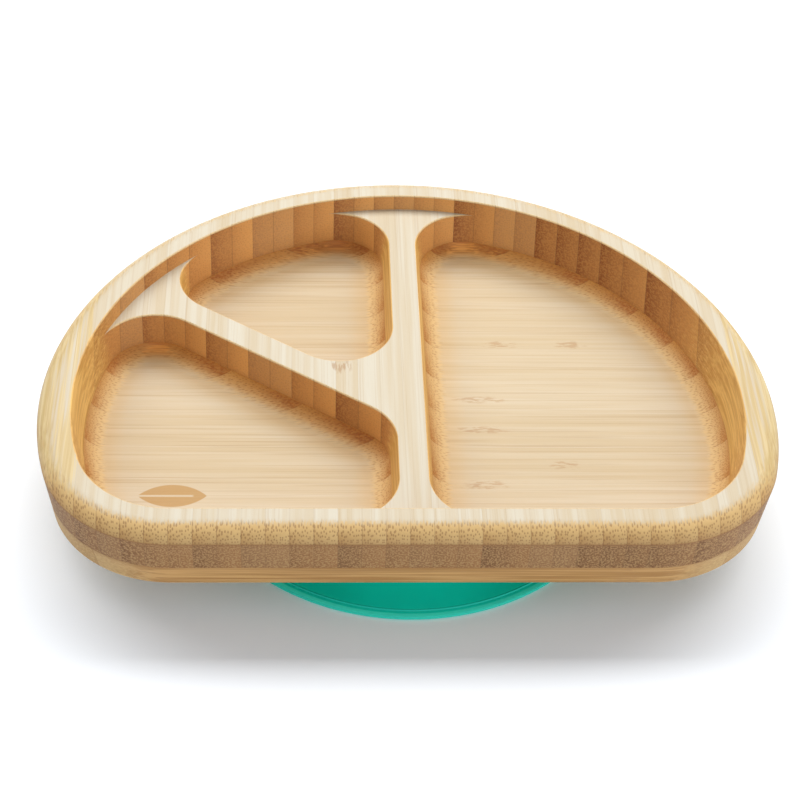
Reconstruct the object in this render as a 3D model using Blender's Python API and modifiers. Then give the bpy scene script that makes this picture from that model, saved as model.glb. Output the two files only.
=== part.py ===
"""A divided feeding plate of laminated bamboo on a removable silicone suction base.

Units are metres, +Z is up. The origin is the middle of the plate's plan, on the table that
the suction lip stands on. The plate is D-shaped: one large arc at the back (+Y), a straight
front edge (-Y) and a rounded corner at each end of it.
"""

import math

import bmesh
import bpy
from mathutils import Matrix, Vector

# ---- Driving dimensions ----
PLATE_WIDTH = 0.250
PLATE_DEPTH = 0.1905
PLATE_THICKNESS = 0.0268
FRONT_CORNER_RADIUS = 0.044
TOP_BOARD_THICKNESS = 0.0169
PLATE_LIFT = 0.0137             # from the table to the plate's underside

EDGE_ROUND_WIDTH = 0.0074       # the rim's outer round-over, seen from above
EDGE_ROUND_DROP = 0.0048
OUTER_DRAFT = math.radians(7)   # the outer wall leans in towards the bottom
BOTTOM_EDGE_RADIUS = 0.003

RIM_WIDTH = 0.0118
LAND_DROP = 0.0057              # the dividers' tops lie this far below the rim
INNER_DRAFT = math.radians(9.5)
DIVIDER_WIDTH = 0.0102
DIVIDER_X = 0.0006              # middle of the straight divider
DIAGONAL_ANGLE = math.radians(34.7)
DIAGONAL_Y = 0.0631             # where the diagonal's middle line would cross x = 0, from the front edge
COVE_WIDTH = 0.0075
COVE_DEPTH = 0.0044
POCKET_CORNER_RADIUS = 0.019
POCKETS = ("right", "upper_left", "lower_left")

SUCTION_RADIUS = 0.075
SUCTION_CENTRE = 0.0750         # the suction base's axis, from the plate's front edge
HUB_RADIUS = 0.036              # the plug that pushes into the base board
HUB_HEIGHT = 0.0022
CROWN_RADIUS = 0.050            # the flat top that the plate rests on
LIP_THICKNESS = 0.0013
LIP_WIDTH = 0.0026
LIP_STEP = 0.0005               # from the skirt down to the lip
CHAMBER_RADIUS = 0.066
CHAMBER_HEIGHT = 0.0052
TAB_LENGTH = 0.011
TAB_WIDTH = 0.018
TAB_THICKNESS = 0.0016

GAP = 0.0003                    # between pieces that touch
WALL_STEP = 0.00002             # keeps the land's wall just clear of the pockets' walls
OVERCUT = 0.003                 # how far a cutter runs past what it cuts
ARC_STEP = math.radians(4.5)
CORNER_STEP = math.radians(9)
COVE_STEPS = 5
ROUND_STEPS = 5
TURNED_STEPS = 72

# ---- Places worked out from them ----
RIM_Z = PLATE_LIFT + PLATE_THICKNESS
LAND_Z = RIM_Z - LAND_DROP
JOINT_Z = RIM_Z - TOP_BOARD_THICKNESS
POCKET_WALL_END_Z = JOINT_Z - GAP
FLOOR_Z = POCKET_WALL_END_Z - COVE_DEPTH
FRONT_Y = -PLATE_DEPTH / 2
ARC_RADIUS = PLATE_WIDTH / 2
ARC_CENTRE_Y = PLATE_DEPTH / 2 - ARC_RADIUS
SUCTION_AXIS = Vector((0, FRONT_Y + SUCTION_CENTRE, 0))
CROWN_Z = PLATE_LIFT - GAP


def collection(name):
    made = bpy.data.collections.new(name)
    bpy.context.scene.collection.children.link(made)
    return made


def material(name, colour, roughness):
    made = bpy.data.materials.new(name)
    made.use_nodes = True
    shader = made.node_tree.nodes["Principled BSDF"]
    shader.inputs["Base Color"].default_value = (*colour, 1)
    shader.inputs["Roughness"].default_value = roughness
    shader.inputs["Metallic"].default_value = 0
    made.diffuse_color = (*colour, 1)
    return made


def mesh_object(name, mesh, into):
    """An object of a bmesh, which it frees. Flat stretches stay crisp and round ones look smooth."""
    data = bpy.data.meshes.new(name)
    mesh.to_mesh(data)
    mesh.free()
    data.shade_smooth()
    data.set_sharp_from_angle(angle=math.radians(25))
    made = bpy.data.objects.new(name, data)
    into.objects.link(made)
    return made


def cutter(made):
    made.hide_render = True
    made.display_type = "WIRE"
    return made


def boolean(target, tool, operation):
    modifier = target.modifiers.new(f"{operation.lower()} {tool.name}", "BOOLEAN")
    modifier.operation = operation
    modifier.object = tool
    modifier.solver = "EXACT"


# ---- Outlines: counter-clockwise lists of (point, outward direction before, and after it) ----
def direction(angle):
    return Vector((math.cos(angle), math.sin(angle)))


def arc(centre, radius, start, end):
    """The points of an arc with their outward directions, both ends included."""
    steps = 2 * max(1, round((end - start) / ARC_STEP / 2))
    outward = [direction(start + (end - start) * i / steps) for i in range(steps + 1)]
    return [(centre + radius * out, out, out) for out in outward]


def plate_outline():
    """The D at its widest: the front corners' arcs are tangent to the front edge and the big arc."""
    corner_y = FRONT_Y + FRONT_CORNER_RADIUS
    apart = ARC_RADIUS - FRONT_CORNER_RADIUS
    corner_x = math.sqrt(apart**2 - (ARC_CENTRE_Y - corner_y) ** 2)
    meet = math.atan2(corner_y - ARC_CENTRE_Y, corner_x)
    right = arc(Vector((corner_x, corner_y)), FRONT_CORNER_RADIUS, -math.pi / 2, meet)
    back = arc(Vector((0, ARC_CENTRE_Y)), ARC_RADIUS, meet, math.pi - meet)
    left = arc(Vector((-corner_x, corner_y)), FRONT_CORNER_RADIUS, math.pi - meet, 1.5 * math.pi)
    return right + back[1:] + left[1:]


def inset(outline, distance):
    return [(point - distance * before, before, after) for point, before, after in outline]


def clipped(outline, on_line, towards):
    """What lies on one side of a line, with its outward directions kept at each new corner."""
    kept = []
    for here, there in zip(outline, outline[1:] + outline[:1]):
        depth = (here[0] - on_line).dot(towards)
        next_depth = (there[0] - on_line).dot(towards)
        if depth >= 0:
            kept.append(here)
        if (depth >= 0) == (next_depth >= 0):
            continue
        crossing = here[0].lerp(there[0], depth / (depth - next_depth))
        along = (there[0] - here[0]).normalized()
        out = Vector((along.y, -along.x))
        kept.append((crossing, out, -towards) if depth >= 0 else (crossing, -towards, out))
    return kept


def grown(core, distance):
    """The outline a distance outside a core, with an arc round each of its corners."""
    points = []
    for point, before, after in core:
        start = math.atan2(before.y, before.x)
        turn = (math.atan2(after.y, after.x) - start) % (2 * math.pi)
        turn = 0 if turn > math.pi else turn
        steps = math.ceil(turn / CORNER_STEP)
        angles = [start + turn * i / max(1, steps) for i in range(steps + 1)]
        points += [point + distance * direction(angle) for angle in angles]
    return points


def places(outline):
    return [point for point, _, _ in outline]


def loft(name, sections, into):
    """A closed solid through (outline, height) sections, lowest first, with equal numbers of points."""
    mesh = bmesh.new()
    rings = [[mesh.verts.new((*point, height)) for point in outline] for outline, height in sections]
    for low, high in zip(rings, rings[1:]):
        for i, vertex in enumerate(low):
            before = i - 1
            mesh.faces.new((low[before], vertex, high[i], high[before]))
    mesh.faces.new(reversed(rings[0]))
    mesh.faces.new(rings[-1])
    return mesh_object(name, mesh, into)


# ---- Cutters ----
def wall_inset(height):
    """How far the drafted inner walls stand in from where they meet the land's level."""
    return (LAND_Z - height) * math.tan(INNER_DRAFT)


def land_outline():
    """The recess inside the rim, at the land's level."""
    return inset(plate_outline(), RIM_WIDTH + LAND_DROP * math.tan(INNER_DRAFT))


def land_cutter(into):
    top = RIM_Z + OVERCUT
    outline = land_outline()
    sections = [(places(inset(outline, WALL_STEP)), LAND_Z)]
    sections.append((places(inset(outline, WALL_STEP + wall_inset(top))), top))
    return cutter(loft("land_cutter", sections, into))


def pocket_core(name):
    """A pocket's outline shrunk by its corner radius, so that growing it back rounds its corners."""
    core = inset(land_outline(), POCKET_CORNER_RADIUS)
    edge = DIVIDER_WIDTH / 2 + POCKET_CORNER_RADIUS
    if name == "right":
        return clipped(core, Vector((DIVIDER_X + edge, 0)), Vector((1, 0)))
    core = clipped(core, Vector((DIVIDER_X - edge, 0)), Vector((-1, 0)))
    across = Vector((math.sin(DIAGONAL_ANGLE), math.cos(DIAGONAL_ANGLE)))
    away = across if name == "upper_left" else -across
    middle = Vector((0, FRONT_Y + DIAGONAL_Y))
    return clipped(core, middle + edge * away, away)


def pocket_cutter(name, into):
    """A drafted wall down to the joint of the boards, a shallow cove, and a flat floor."""
    core = pocket_core(name)
    wall_end = wall_inset(POCKET_WALL_END_Z)
    cove_radius = (COVE_WIDTH**2 + COVE_DEPTH**2) / (2 * COVE_DEPTH)
    sweep = math.asin(COVE_WIDTH / cove_radius)
    sections = []
    for i in range(COVE_STEPS + 1):
        angle = sweep * i / COVE_STEPS
        step_in = wall_end + COVE_WIDTH - cove_radius * math.sin(angle)
        height = FLOOR_Z + cove_radius * (1 - math.cos(angle))
        sections.append((grown(core, POCKET_CORNER_RADIUS - step_in), height))
    top = RIM_Z + OVERCUT
    sections.append((grown(core, POCKET_CORNER_RADIUS - wall_inset(top)), top))
    return cutter(loft(f"{name}_pocket_cutter", sections, into))


def socket_cutter(into):
    """The round recess under the base board that takes the suction base's hub."""
    mesh = bmesh.new()
    low = PLATE_LIFT - OVERCUT
    high = PLATE_LIFT + HUB_HEIGHT + GAP
    bmesh.ops.create_cone(
        mesh,
        cap_ends=True,
        segments=TURNED_STEPS,
        radius1=HUB_RADIUS + GAP,
        radius2=HUB_RADIUS + GAP,
        depth=high - low,
        matrix=Matrix.Translation(SUCTION_AXIS + Vector((0, 0, (low + high) / 2))),
    )
    return cutter(mesh_object("socket_cutter", mesh, into))


# ---- The plate's two boards ----
def outer_inset(height):
    """How far the drafted outer wall stands in from the outline at its widest."""
    return (RIM_Z - EDGE_ROUND_DROP - height) * math.tan(OUTER_DRAFT)


def top_board(into):
    """Staves laid front to back. The pockets pass right through it."""
    outline = plate_outline()
    round_radius = (EDGE_ROUND_WIDTH**2 + EDGE_ROUND_DROP**2) / (2 * EDGE_ROUND_DROP)
    sweep = math.asin(EDGE_ROUND_WIDTH / round_radius)
    sections = [(places(inset(outline, outer_inset(JOINT_Z))), JOINT_Z)]
    for i in range(ROUND_STEPS + 1):
        angle = sweep * (1 - i / ROUND_STEPS)
        step_in = EDGE_ROUND_WIDTH - round_radius * math.sin(angle)
        height = RIM_Z - round_radius * (1 - math.cos(angle))
        sections.append((places(inset(outline, step_in)), height))
    return loft("top_board", sections, into)


def base_board(into):
    """Strips laid from side to side. It holds the pockets' coves and floors, and the socket."""
    outline = plate_outline()
    sections = []
    for i in range(ROUND_STEPS + 1):
        angle = math.pi / 2 * i / ROUND_STEPS
        height = PLATE_LIFT + BOTTOM_EDGE_RADIUS * (1 - math.cos(angle))
        step_in = outer_inset(height) + BOTTOM_EDGE_RADIUS * (1 - math.sin(angle))
        sections.append((places(inset(outline, step_in)), height))
    top = JOINT_Z - GAP
    sections.append((places(inset(outline, outer_inset(top))), top))
    return loft("base_board", sections, into)


# ---- The silicone suction base ----
def suction_profile():
    """(radius, height) from the hub's top, down the flared outside, and back under the chamber."""
    lip_inner = SUCTION_RADIUS - LIP_WIDTH
    shoulder = lip_inner - LIP_STEP
    outside = [
        (0, CROWN_Z + HUB_HEIGHT),
        (HUB_RADIUS, CROWN_Z + HUB_HEIGHT),
        (HUB_RADIUS, CROWN_Z),
        (CROWN_RADIUS, CROWN_Z),
    ]
    # A concave flare from under the crown's edge out to the lip's shoulder.
    flare_low = LIP_THICKNESS + LIP_STEP
    for i in range(7):
        angle = math.pi / 2 * i / 6
        out = CROWN_RADIUS + 0.001 + (shoulder - CROWN_RADIUS - 0.001) * (1 - math.cos(angle))
        outside.append((out, CROWN_Z - 0.001 - (CROWN_Z - 0.001 - flare_low) * math.sin(angle)))
    lip = [
        (lip_inner, LIP_THICKNESS),
        (SUCTION_RADIUS - 0.0008, LIP_THICKNESS),
        (SUCTION_RADIUS, 0.5 * LIP_THICKNESS),
        (SUCTION_RADIUS - 0.0004, 0),
    ]
    chamber = []
    for i in range(7):
        angle = math.pi / 2 * i / 6
        chamber.append((CHAMBER_RADIUS * math.cos(angle), CHAMBER_HEIGHT * math.sin(angle)))
    return outside + lip + chamber[:-1] + [(0, CHAMBER_HEIGHT)]


def suction_base(into):
    """One moulding: a hub, a flared skirt with a thin lip, and a shallow vacuum chamber."""
    mesh = bmesh.new()
    ring = [mesh.verts.new((radius, 0, height)) for radius, height in suction_profile()]
    for low, high in zip(ring, ring[1:]):
        mesh.edges.new((low, high))
    made = mesh_object("suction_base", mesh, into)
    made.location = SUCTION_AXIS
    screw = made.modifiers.new("turn", "SCREW")
    screw.steps = TURNED_STEPS
    screw.render_steps = TURNED_STEPS
    screw.use_merge_vertices = True
    screw.merge_threshold = 0.00001
    return made


def pull_tab(into):
    """A rounded tongue on the back of the lip that breaks the vacuum when it is lifted."""
    half = TAB_WIDTH / 2
    straight = SUCTION_RADIUS + TAB_LENGTH - half
    tip = [Vector((0, straight)) + half * direction(math.pi * i / 12) for i in range(13)]
    root = SUCTION_RADIUS - LIP_WIDTH / 2
    outline = [Vector((half, root))] + tip + [Vector((-half, root))]
    bottom = 0.4 * LIP_THICKNESS
    sections = [(outline, bottom), (outline, bottom + TAB_THICKNESS)]
    made = loft("pull_tab_shape", sections, into)
    made.location = SUCTION_AXIS
    return cutter(made)


def main():
    for old in list(bpy.data.objects):
        bpy.data.objects.remove(old, do_unlink=True)
    parts = collection("divided_suction_plate")
    cutters = collection("cutters")

    pockets = [pocket_cutter(name, cutters) for name in POCKETS]
    boards = [top_board(parts), base_board(parts)]
    boolean(boards[0], land_cutter(cutters), "DIFFERENCE")
    boolean(boards[1], socket_cutter(cutters), "DIFFERENCE")
    for board in boards:
        for pocket in pockets:
            boolean(board, pocket, "DIFFERENCE")
    boards[0].data.materials.append(material("bamboo_top", (0.80, 0.60, 0.36), 0.5))
    boards[1].data.materials.append(material("bamboo_base", (0.74, 0.52, 0.28), 0.5))

    plate = bpy.data.objects.new("plate_on_its_hub", None)
    plate.location = SUCTION_AXIS
    parts.objects.link(plate)
    for board in boards:
        board.parent = plate
        board.matrix_parent_inverse = Matrix.Translation(-SUCTION_AXIS)

    silicone = suction_base(parts)
    boolean(silicone, pull_tab(cutters), "UNION")
    silicone.data.materials.append(material("silicone", (0.0, 0.33, 0.24), 0.45))


main()
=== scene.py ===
"""The look of a divided feeding plate: two boards of laminated bamboo on a silicone suction base.

Everything is in metres in the CAD model's frame: +Z is up, and the plate's straight front edge
faces -Y. The three pieces repeat the CAD model's dimensions with finer curves and softened
edges. Material patterns are worked out in millimetres, because that is the scale of the fibres.
"""

import math

import bmesh
import bpy
from mathutils import Matrix, Vector


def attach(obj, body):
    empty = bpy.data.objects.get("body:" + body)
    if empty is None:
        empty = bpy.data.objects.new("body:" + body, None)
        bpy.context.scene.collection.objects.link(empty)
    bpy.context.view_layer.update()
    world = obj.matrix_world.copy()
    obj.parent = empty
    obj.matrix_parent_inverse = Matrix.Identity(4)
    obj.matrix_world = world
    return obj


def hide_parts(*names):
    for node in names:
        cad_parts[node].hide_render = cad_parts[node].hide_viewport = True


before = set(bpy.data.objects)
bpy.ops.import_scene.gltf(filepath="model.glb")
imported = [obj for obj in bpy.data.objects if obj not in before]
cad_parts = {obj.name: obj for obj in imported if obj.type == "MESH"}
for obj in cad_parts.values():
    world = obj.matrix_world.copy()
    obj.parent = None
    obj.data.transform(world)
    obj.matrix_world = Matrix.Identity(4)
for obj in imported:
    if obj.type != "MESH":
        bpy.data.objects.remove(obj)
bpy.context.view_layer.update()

MM = 0.001

# ---- The plate, as the CAD model has it ----
PLATE_WIDTH = 0.250
PLATE_DEPTH = 0.1905
PLATE_THICKNESS = 0.0268
FRONT_CORNER_RADIUS = 0.044
TOP_BOARD_THICKNESS = 0.0169
PLATE_LIFT = 0.0137
EDGE_ROUND_WIDTH = 0.0074
EDGE_ROUND_DROP = 0.0048
OUTER_DRAFT = math.radians(7)
BOTTOM_EDGE_RADIUS = 0.003
RIM_WIDTH = 0.0118
LAND_DROP = 0.0057
INNER_DRAFT = math.radians(9.5)
DIVIDER_WIDTH = 0.0102
DIVIDER_X = 0.0006
DIAGONAL_ANGLE = math.radians(34.7)
DIAGONAL_Y = 0.0631
COVE_WIDTH = 0.0075
COVE_DEPTH = 0.0044
POCKET_CORNER_RADIUS = 0.019
POCKETS = ("right", "upper_left", "lower_left")

# ---- The suction base, as the CAD model has it ----
SUCTION_RADIUS = 0.075
SUCTION_CENTRE = 0.0750
HUB_RADIUS = 0.036
HUB_HEIGHT = 0.0022
CROWN_RADIUS = 0.050
LIP_THICKNESS = 0.0013
LIP_WIDTH = 0.0026
LIP_STEP = 0.0005
CHAMBER_RADIUS = 0.066
CHAMBER_HEIGHT = 0.0052
TAB_LENGTH = 0.011
TAB_WIDTH = 0.018
TAB_THICKNESS = 0.0016
GAP = 0.0003

# ---- What is finer here ----
SOFT_EDGE_RADIUS = 0.0007       # along the rim's inner edge and the tops of the pockets
SOFT_EDGE_END = math.radians(80)  # how far it has turned from upright where it stops
SOFT_EDGE_RUN_ON = 0.00105      # how far the last facet goes on, past the face that it meets
SOFT_EDGE_RUN_IN = 0.002        # how wide the land is where a pocket's edge is fully soft
GLUE_GAP = 0.00003              # keeps the two boards' faces apart
WALL_STEP = 0.00002             # keeps the land's wall just clear of the pockets' walls
OVERCUT = 0.003                 # how far the socket's cutter reaches out under the plate
ARC_STEP = math.radians(1.5)
CORNER_STEP = math.radians(3)
COVE_STEPS = 12
ROUND_STEPS = 12
SOFT_STEPS = 8
TURNED_STEPS = 180
FLARE_STEPS = 24
CHAMBER_STEPS = 24
LIP_EDGE_STEPS = 10
CROWN_EDGE_STEPS = 6
FILLET_STEPS = 4
TAB_TIP_STEPS = 24
TAB_EDGE_STEPS = 3
TAB_BOTTOM = 0.00052            # the tab's underside is this far above the table
SILICONE_EDGE = 0.0004
CROWN_EDGE = 0.001
SMOOTH_BELOW = math.radians(14)  # edges that turn more than this stay crisp

# ---- Places worked out from them ----
RIM_Z = PLATE_LIFT + PLATE_THICKNESS
LAND_Z = RIM_Z - LAND_DROP
JOINT_Z = RIM_Z - TOP_BOARD_THICKNESS
WALL_END_Z = JOINT_Z - GAP
FLOOR_Z = WALL_END_Z - COVE_DEPTH
CREASE_Z = RIM_Z - EDGE_ROUND_DROP
FRONT_Y = -PLATE_DEPTH / 2
ARC_RADIUS = PLATE_WIDTH / 2
ARC_CENTRE_Y = PLATE_DEPTH / 2 - ARC_RADIUS
SUCTION_AXIS = Vector((0, FRONT_Y + SUCTION_CENTRE, 0))
CROWN_Z = PLATE_LIFT - GAP

# ---- How far up a face's normal points, from -1 to 1 ----
TOP_BOARD_LEVEL = 0.995         # past this, the top board's faces count as level, not as walls
BASE_BOARD_DOWN = -0.38         # below this, the base board's faces count as its underside

# ---- Camera: angles in radians, and the lens in millimetres ----
CAMERA_PLACE = Vector((-0.034176, -0.528838, 0.489228))
CAMERA_PAN = -0.062
CAMERA_DIP = 0.734              # below the horizon
CAMERA_ROLL = 0.045
CAMERA_LENS = 89.4


# ---- Meshes ----
def finished(name, mesh):
    """An object of a bmesh, which it frees."""
    data = bpy.data.meshes.new(name)
    mesh.to_mesh(data)
    mesh.free()
    made = bpy.data.objects.new(name, data)
    bpy.context.scene.collection.objects.link(made)
    return made


def joined(target, tools, operation):
    """The target with the tools added to it or cut out of it, in one mesh."""
    for tool in tools:
        modifier = target.modifiers.new(tool.name, "BOOLEAN")
        modifier.operation = operation
        modifier.object = tool
        modifier.solver = "EXACT"
    depsgraph = bpy.context.evaluated_depsgraph_get()
    data = bpy.data.meshes.new_from_object(target.evaluated_get(depsgraph))
    target.modifiers.clear()
    target.data = data
    return target


def use_up(tools):
    """Deletes tools that have done their work."""
    for tool in tools:
        bpy.data.objects.remove(tool)


def shade(made):
    """Smooth faces with crisp edges, and flat faces that stay flat beside rounded ones."""
    made.data.shade_smooth()
    made.data.set_sharp_from_angle(angle=SMOOTH_BELOW)
    modifier = made.modifiers.new("weighted_normals", "WEIGHTED_NORMAL")
    modifier.keep_sharp = True


# ---- Outlines: counter-clockwise lists of (point, outward direction before, and after it) ----
def direction(angle):
    return Vector((math.cos(angle), math.sin(angle)))


def arc_radius(width, depth):
    """The radius of an arc that starts level and ends this far out and this far up or down."""
    return (width**2 + depth**2) / (2 * depth)


def arc(centre, radius, start, end):
    """The points of an arc with their outward directions, both ends included."""
    steps = 2 * max(1, round((end - start) / ARC_STEP / 2))
    outward = [direction(start + (end - start) * i / steps) for i in range(steps + 1)]
    return [(centre + radius * out, out, out) for out in outward]


def plate_outline():
    """The D at its widest: each corner's arc is tangent to the front edge and the big arc."""
    corner_y = FRONT_Y + FRONT_CORNER_RADIUS
    apart = ARC_RADIUS - FRONT_CORNER_RADIUS
    corner_x = math.sqrt(apart**2 - (ARC_CENTRE_Y - corner_y) ** 2)
    meet = math.atan2(corner_y - ARC_CENTRE_Y, corner_x)
    right = arc(Vector((corner_x, corner_y)), FRONT_CORNER_RADIUS, -math.pi / 2, meet)
    back = arc(Vector((0, ARC_CENTRE_Y)), ARC_RADIUS, meet, math.pi - meet)
    left = arc(Vector((-corner_x, corner_y)), FRONT_CORNER_RADIUS, math.pi - meet, 1.5 * math.pi)
    return right + back[1:] + left[1:]


def inset(outline, distance):
    return [(point - distance * before, before, after) for point, before, after in outline]


def depth_inside(outline, point):
    """How far a point is inside a convex outline."""
    return min((edge - point).dot(out) for edge, out, _ in outline)


def clipped(outline, on_line, towards):
    """What lies on one side of a line, with its outward directions kept at each new corner."""
    kept = []
    for here, there in zip(outline, outline[1:] + outline[:1]):
        depth = (here[0] - on_line).dot(towards)
        next_depth = (there[0] - on_line).dot(towards)
        if depth >= 0:
            kept.append(here)
        if (depth >= 0) == (next_depth >= 0):
            continue
        crossing = here[0].lerp(there[0], depth / (depth - next_depth))
        along = (there[0] - here[0]).normalized()
        out = Vector((along.y, -along.x))
        kept.append((crossing, out, -towards) if depth >= 0 else (crossing, -towards, out))
    return kept


def spokes(core):
    """(point, outward direction) pairs round a core, with a fan of them at each of its corners."""
    pairs = []
    for point, before, after in core:
        start = math.atan2(before.y, before.x)
        turn = (math.atan2(after.y, after.x) - start) % (2 * math.pi)
        turn = 0 if turn > math.pi else turn
        steps = math.ceil(turn / CORNER_STEP)
        angles = [start + turn * i / max(1, steps) for i in range(steps + 1)]
        pairs += [(point, direction(angle)) for angle in angles]
    return pairs


def places(outline):
    return [point for point, _, _ in outline]


def loft(name, sections):
    """A closed solid through (outline, height) sections, lowest first, with as many points each."""
    mesh = bmesh.new()
    rings = []
    for outline, height in sections:
        rings.append([mesh.verts.new((*point, height)) for point in outline])
    for low, high in zip(rings, rings[1:]):
        for i, vertex in enumerate(low):
            before = i - 1
            mesh.faces.new((low[before], vertex, high[i], high[before]))
    mesh.faces.new(reversed(rings[0]))
    mesh.faces.new(rings[-1])
    return finished(name, mesh)


# ---- The plate's hollow ----
def soft_edge(level):
    """(step out from the wall's line at this level, height) where a wall's top edge rounds over."""
    radius = SOFT_EDGE_RADIUS
    start = INNER_DRAFT
    first = -radius * (1 - math.sin(start)) * math.tan(start)
    steps = []
    for i in range(SOFT_STEPS + 1):
        angle = start + (SOFT_EDGE_END - start) * i / SOFT_STEPS
        out = first + radius * (math.cos(start) - math.cos(angle))
        steps.append((out, level - radius * (1 - math.sin(angle))))
    # The last facet runs on at its own slope until it is clear of the face that it meets.
    out, height = steps[-1]
    run = SOFT_EDGE_RUN_ON
    steps.append((out + run * math.sin(SOFT_EDGE_END), height + run * math.cos(SOFT_EDGE_END)))
    return steps


def recess(height):
    """How far the drafted inner wall stands in from the plate's outline."""
    return RIM_WIDTH + (RIM_Z - height) * math.tan(INNER_DRAFT)


def land_cutter():
    """All that is above the land, inside the rim's wall."""
    outline = plate_outline()
    sections = [(places(inset(outline, recess(LAND_Z) + WALL_STEP)), LAND_Z)]
    for out, height in soft_edge(RIM_Z):
        sections.append((places(inset(outline, RIM_WIDTH + WALL_STEP - out)), height))
    return loft("land_cutter", sections)


def pocket_core(name):
    """A pocket's outline shrunk by its corner radius, so that its corners come back rounded."""
    core = inset(plate_outline(), recess(LAND_Z) + POCKET_CORNER_RADIUS)
    edge = DIVIDER_WIDTH / 2 + POCKET_CORNER_RADIUS
    if name == "right":
        return clipped(core, Vector((DIVIDER_X + edge, 0)), Vector((1, 0)))
    core = clipped(core, Vector((DIVIDER_X - edge, 0)), Vector((-1, 0)))
    across = Vector((math.sin(DIAGONAL_ANGLE), math.cos(DIAGONAL_ANGLE)))
    away = across if name == "upper_left" else -across
    middle = Vector((0, FRONT_Y + DIAGONAL_Y))
    return clipped(core, middle + edge * away, away)


def land_share(point):
    """0 where a pocket's wall is the rim's own, rising to 1 where the land lies between them."""
    depth = depth_inside(plate_outline(), point)
    share = min(1, max(0, (depth - recess(LAND_Z)) / SOFT_EDGE_RUN_IN))
    return share * share * (3 - 2 * share)


def cove():
    """(step out from the wall's line at the land's level, height) from the floor up to the wall."""
    wall_end = (LAND_Z - WALL_END_Z) * math.tan(INNER_DRAFT)
    radius = arc_radius(COVE_WIDTH, COVE_DEPTH)
    sweep = math.asin(COVE_WIDTH / radius)
    steps = []
    for i in range(COVE_STEPS + 1):
        angle = sweep * i / COVE_STEPS
        out = radius * math.sin(angle) - wall_end - COVE_WIDTH
        steps.append((out, FLOOR_Z + radius * (1 - math.cos(angle))))
    return steps


def pocket_steps():
    """(step out beside the rim, step out beside the land, height) all the way up a pocket."""
    slope = math.tan(INNER_DRAFT)
    steps = [(out, out, height) for out, height in cove()]
    land_edge = soft_edge(LAND_Z)
    steps += [((height - LAND_Z) * slope, out, height) for out, height in land_edge]
    past_land, _ = land_edge[-1]
    steps += [(LAND_DROP * slope + out, past_land, height) for out, height in soft_edge(RIM_Z)]
    return steps


def pocket(name):
    """A flat floor, a cove, and a drafted wall whose top edge is soft, at the land or the rim."""
    pairs = spokes(pocket_core(name))
    shares = [land_share(point + POCKET_CORNER_RADIUS * out) for point, out in pairs]
    sections = []
    for at_rim, at_land, height in pocket_steps():
        ring = []
        for (point, out), share in zip(pairs, shares):
            step = at_rim + (at_land - at_rim) * share
            ring.append(point + (POCKET_CORNER_RADIUS + step) * out)
        sections.append((ring, height))
    return loft(f"{name}_pocket", sections)


# ---- The plate's two boards ----
def outer_inset(height):
    """How far the drafted outer wall stands in from the plate's outline."""
    return (CREASE_Z - height) * math.tan(OUTER_DRAFT)


def top_blank():
    """The top board before anything is cut into it, with its round-over."""
    outline = plate_outline()
    radius = arc_radius(EDGE_ROUND_WIDTH, EDGE_ROUND_DROP)
    sweep = math.asin(EDGE_ROUND_WIDTH / radius)
    sections = [(places(inset(outline, outer_inset(JOINT_Z))), JOINT_Z)]
    for i in range(ROUND_STEPS + 1):
        angle = sweep * (1 - i / ROUND_STEPS)
        step_in = EDGE_ROUND_WIDTH - radius * math.sin(angle)
        height = RIM_Z - radius * (1 - math.cos(angle))
        sections.append((places(inset(outline, step_in)), height))
    return loft("top_board_staves", sections)


def base_blank():
    """The base board before anything is cut into it, with its rounded lower edge."""
    outline = plate_outline()
    sections = []
    for i in range(ROUND_STEPS + 1):
        angle = math.pi / 2 * i / ROUND_STEPS
        height = PLATE_LIFT + BOTTOM_EDGE_RADIUS * (1 - math.cos(angle))
        step_in = outer_inset(height) + BOTTOM_EDGE_RADIUS * (1 - math.sin(angle))
        sections.append((places(inset(outline, step_in)), height))
    top = JOINT_Z - GLUE_GAP
    sections.append((places(inset(outline, outer_inset(top))), top))
    return loft("base_board_strips", sections)


def socket():
    """The round recess under the base board that takes the suction base's hub."""
    mesh = bmesh.new()
    low = PLATE_LIFT - OVERCUT
    high = PLATE_LIFT + HUB_HEIGHT + GAP
    bmesh.ops.create_cone(
        mesh,
        cap_ends=True,
        segments=TURNED_STEPS,
        radius1=HUB_RADIUS + GAP,
        radius2=HUB_RADIUS + GAP,
        depth=high - low,
        matrix=Matrix.Translation(SUCTION_AXIS + Vector((0, 0, (low + high) / 2))),
    )
    return finished("socket", mesh)


def boards():
    """The top board and the base board, with the pockets, the land and the socket cut out."""
    pockets = [pocket(name) for name in POCKETS]
    land = land_cutter()
    hub_socket = socket()
    top = joined(top_blank(), [land, *pockets], "DIFFERENCE")
    base = joined(base_blank(), [hub_socket, *pockets], "DIFFERENCE")
    use_up([land, hub_socket, *pockets])
    shade(top)
    shade(base)
    return top, base


# ---- The silicone suction base ----
# Directions in the (radius, height) plane. The last two are the same one, a turn apart.
OUT, UP, INWARD = 0, math.pi / 2, math.pi
DOWN, DOWN_FROM_INWARD = -math.pi / 2, 1.5 * math.pi


def quarter(centre, radii, start, end, steps):
    """Points of an ellipse's arc in the (radius, height) plane, from one angle to another."""
    points = []
    for i in range(steps + 1):
        angle = start + (end - start) * i / steps
        across = centre[0] + radii[0] * math.cos(angle)
        points.append((across, centre[1] + radii[1] * math.sin(angle)))
    return points


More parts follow.
